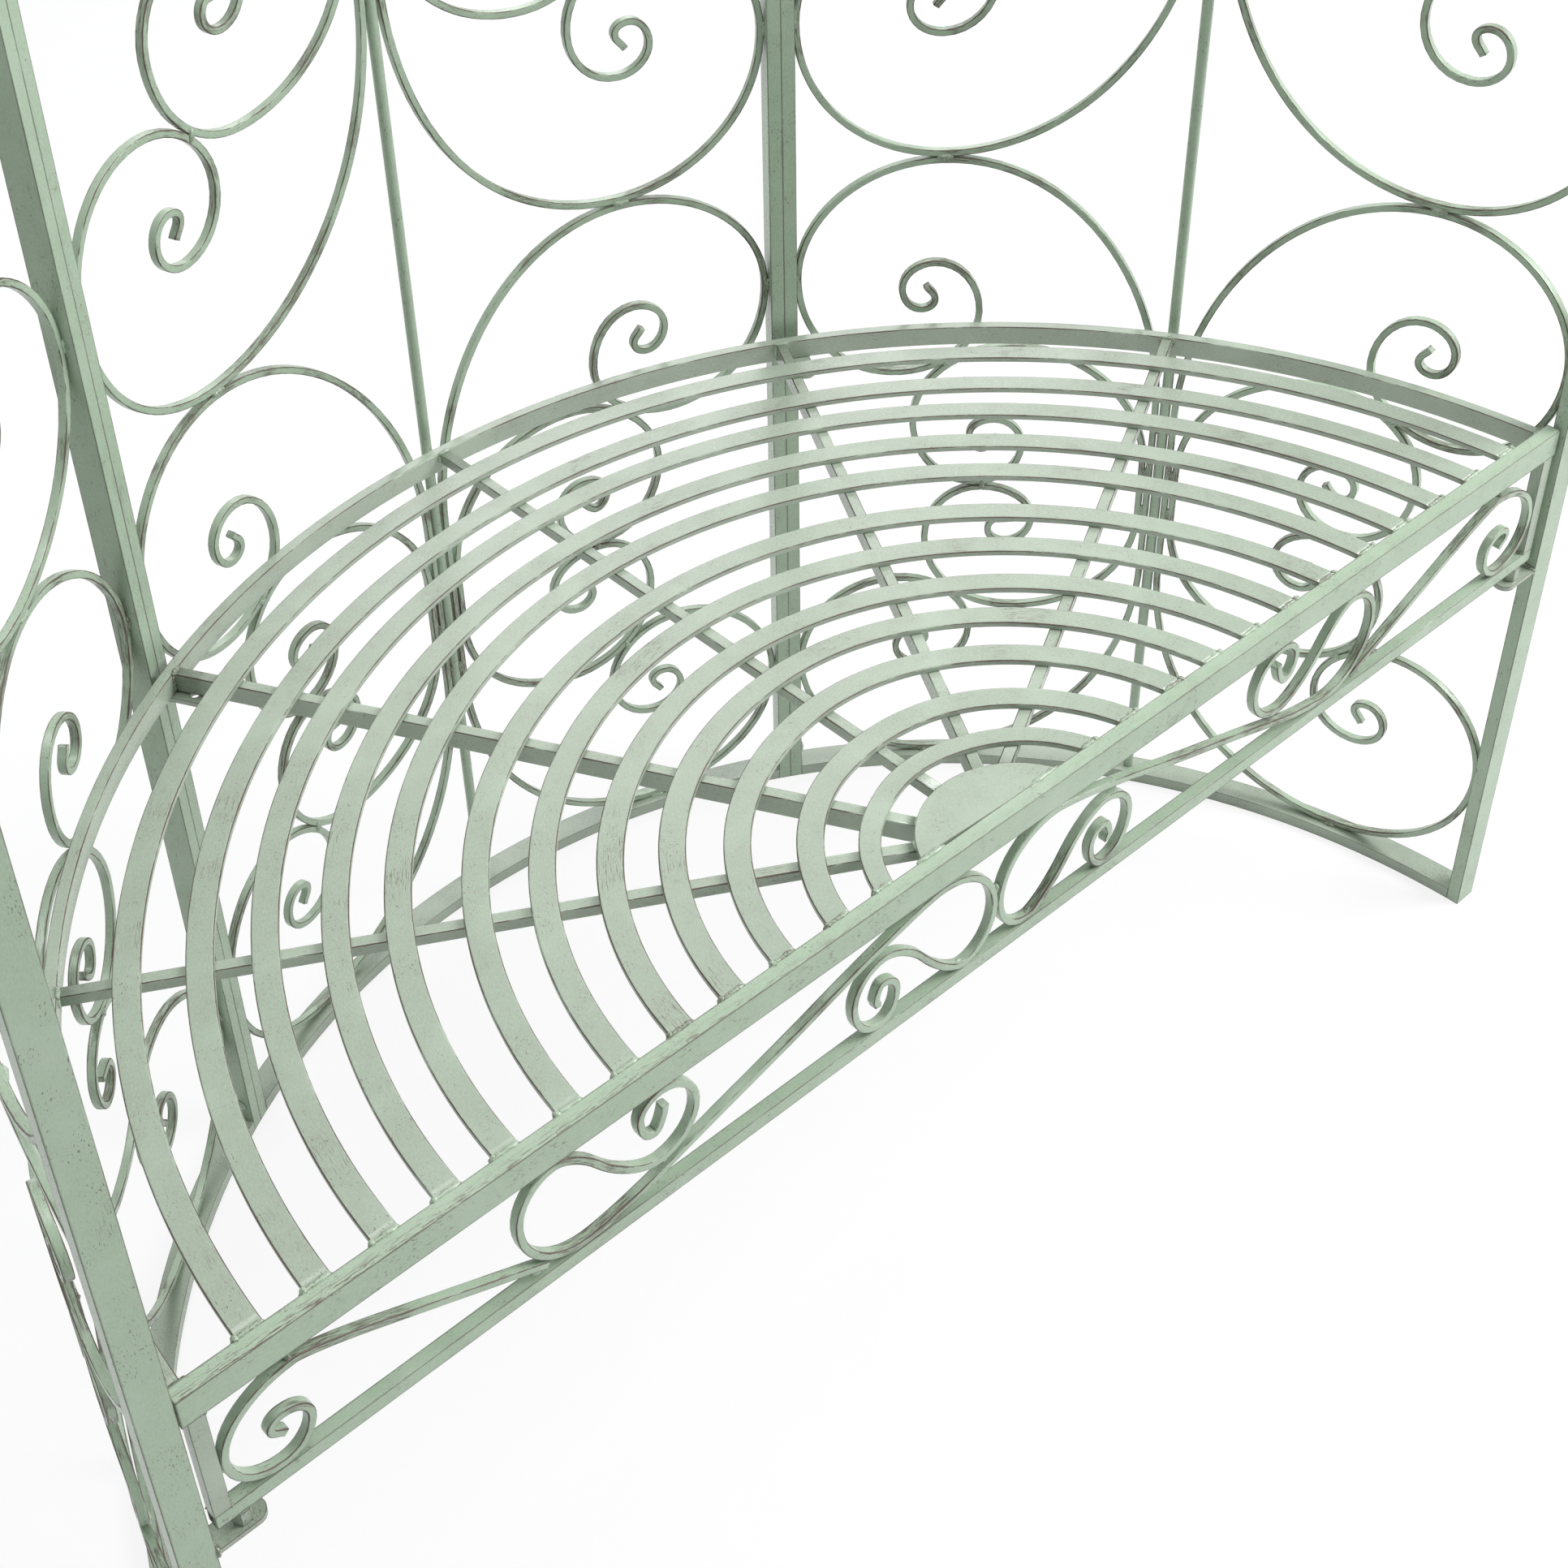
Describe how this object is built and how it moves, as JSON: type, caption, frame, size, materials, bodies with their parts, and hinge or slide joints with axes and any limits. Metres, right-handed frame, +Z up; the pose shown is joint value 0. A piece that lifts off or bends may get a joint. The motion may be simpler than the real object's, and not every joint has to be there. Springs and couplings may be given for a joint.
{
  "type": "arbour seat",
  "caption": "Half-round garden arbour seat in painted steel: curved scrollwork panels between tube uprights carry a slatted half-round seat under an open arched roof.",
  "frame": {"origin": "on the floor, in the middle of the footprint", "axes": "+Z up, +Y towards the back of the arbour, +X to the right of someone who faces the seat from the front"},
  "size_m": [1.158, 0.58, 2.203],
  "materials": {
    "green_painted_steel": "sage green paint, rubbed through to dark brown along the edges, satin",
    "black_plastic": "matt black"
  },
  "bodies": {
    "root": {"apron_end_bars": "green_painted_steel", "apron_left_corner_scroll": "green_painted_steel", "apron_left_wave_scroll": "green_painted_steel", "apron_rail": "green_painted_steel", "apron_right_corner_scroll": "green_painted_steel", "apron_right_wave_scroll": "green_painted_steel", "back_left_seat_tab": "green_painted_steel", "back_panel_bottom_rail": "green_painted_steel", "back_panel_inner_scrolls": "green_painted_steel", "back_panel_left_upright": "green_painted_steel", "back_panel_middle_rod": "green_painted_steel", "back_panel_outer_scrolls": "green_painted_steel", "back_panel_right_upright": "green_painted_steel", "back_panel_top_rail": "green_painted_steel", "back_right_seat_tab": "green_painted_steel", "foot_plugs": "black_plastic", "front_left_seat_tab": "green_painted_steel", "front_right_seat_tab": "green_painted_steel", "hex_nuts": "green_painted_steel", "left_panel_back_upright": "green_painted_steel", "left_panel_bottom_rail": "green_painted_steel", "left_panel_front_upright": "green_painted_steel", "left_panel_inner_scrolls": "green_painted_steel", "left_panel_middle_rod": "green_painted_steel", "left_panel_outer_scrolls": "green_painted_steel", "left_panel_top_rail": "green_painted_steel", "panel_bolts": "green_painted_steel", "right_panel_back_upright": "green_painted_steel", "right_panel_bottom_rail": "green_painted_steel", "right_panel_front_upright": "green_painted_steel", "right_panel_inner_scrolls": "green_painted_steel", "right_panel_middle_rod": "green_painted_steel", "right_panel_outer_scrolls": "green_painted_steel", "right_panel_top_rail": "green_painted_steel", "roof_back_left_rib": "green_painted_steel", "roof_back_right_rib": "green_painted_steel", "roof_finial": "green_painted_steel", "roof_front_arch": "green_painted_steel", "seat_bolts": "green_painted_steel", "seat_centre_plate": "green_painted_steel", "seat_front_bar": "green_painted_steel", "seat_rim": "green_painted_steel", "seat_slat_01": "green_painted_steel", "seat_slat_02": "green_painted_steel", "seat_slat_03": "green_painted_steel", "seat_slat_04": "green_painted_steel", "seat_slat_05": "green_painted_steel", "seat_slat_06": "green_painted_steel", "seat_slat_07": "green_painted_steel", "seat_slat_08": "green_painted_steel", "seat_slat_09": "green_painted_steel", "seat_slat_10": "green_painted_steel", "seat_slat_11": "green_painted_steel", "seat_slat_12": "green_painted_steel", "seat_support_bar_1": "green_painted_steel", "seat_support_bar_2": "green_painted_steel", "seat_support_bar_3": "green_painted_steel", "seat_support_bar_4": "green_painted_steel", "seat_support_bar_5": "green_painted_steel"}
  },
  "joints": []
}
